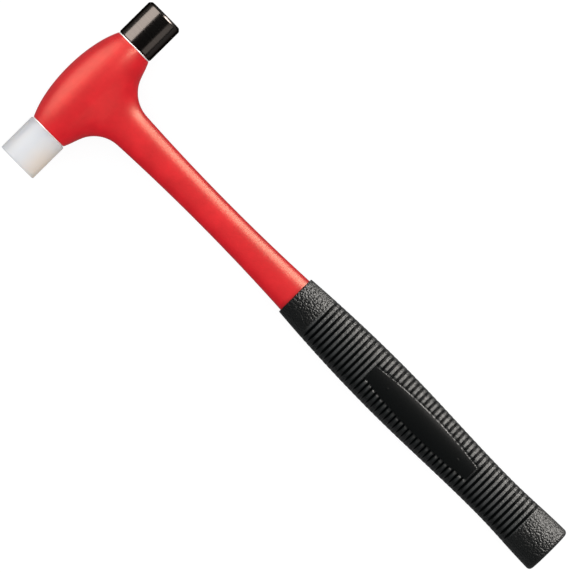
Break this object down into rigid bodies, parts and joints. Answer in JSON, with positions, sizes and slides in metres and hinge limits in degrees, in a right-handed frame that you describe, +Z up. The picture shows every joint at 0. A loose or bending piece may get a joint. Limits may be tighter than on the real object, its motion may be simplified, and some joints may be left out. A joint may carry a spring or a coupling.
{
  "type": "combination hammer",
  "caption": "Combination hand hammer with screw-in steel and nylon striking faces, a red moulded head and shaft over a steel core, and a ribbed black vinyl grip.",
  "frame": {"origin": "on the table that the hammer lies on, under the middle of its length, on the handle's centre plane", "axes": "+X from the head towards the butt, +Y out of the steel striking face, +Z up from the table; the handle's centre line is pitched 1.08 degrees down towards the butt, so that the head and the butt both touch the table"},
  "size_m": [0.3296, 0.1011, 0.0314],
  "materials": {
    "red_plastic": "satin",
    "black_steel": "polished",
    "bright_steel": "satin",
    "white_nylon": "satin",
    "black_vinyl": "matte"
  },
  "bodies": {
    "hammer": {"body_jacket": "red_plastic", "head_core": "bright_steel", "handle_rod": "bright_steel", "core_pin": "bright_steel", "grip": "black_vinyl"},
    "steel_washer": {"steel_face_washer": "bright_steel"},
    "steel_face": {"steel_face": "black_steel"},
    "nylon_washer": {"nylon_face_washer": "bright_steel"},
    "nylon_face": {"nylon_face": "white_nylon", "nylon_face_stud": "bright_steel"}
  },
  "joints": [
    {"name": "steel_face_travel", "type": "slide", "parent": "hammer", "child": "steel_washer", "axis": [0, 1, 0], "range_m": [0, 0.012]},
    {"name": "steel_face_turn", "type": "hinge", "parent": "steel_washer", "child": "steel_face", "pos_m": [-0.14902, 0.0294, 0.0157], "axis": [0, 1, 0], "range_deg": [0, 2880]},
    {"name": "nylon_face_travel", "type": "slide", "parent": "hammer", "child": "nylon_washer", "axis": [0, -1, 0], "range_m": [0, 0.012]},
    {"name": "nylon_face_turn", "type": "hinge", "parent": "nylon_washer", "child": "nylon_face", "pos_m": [-0.14902, -0.0294, 0.0157], "axis": [0, -1, 0], "range_deg": [0, 2880]}
  ],
  "couplings": [
    {"joint": "steel_face_travel", "follows": "steel_face_turn", "m_per_rad": 0.00023873},
    {"joint": "nylon_face_travel", "follows": "nylon_face_turn", "m_per_rad": 0.00023873}
  ]
}
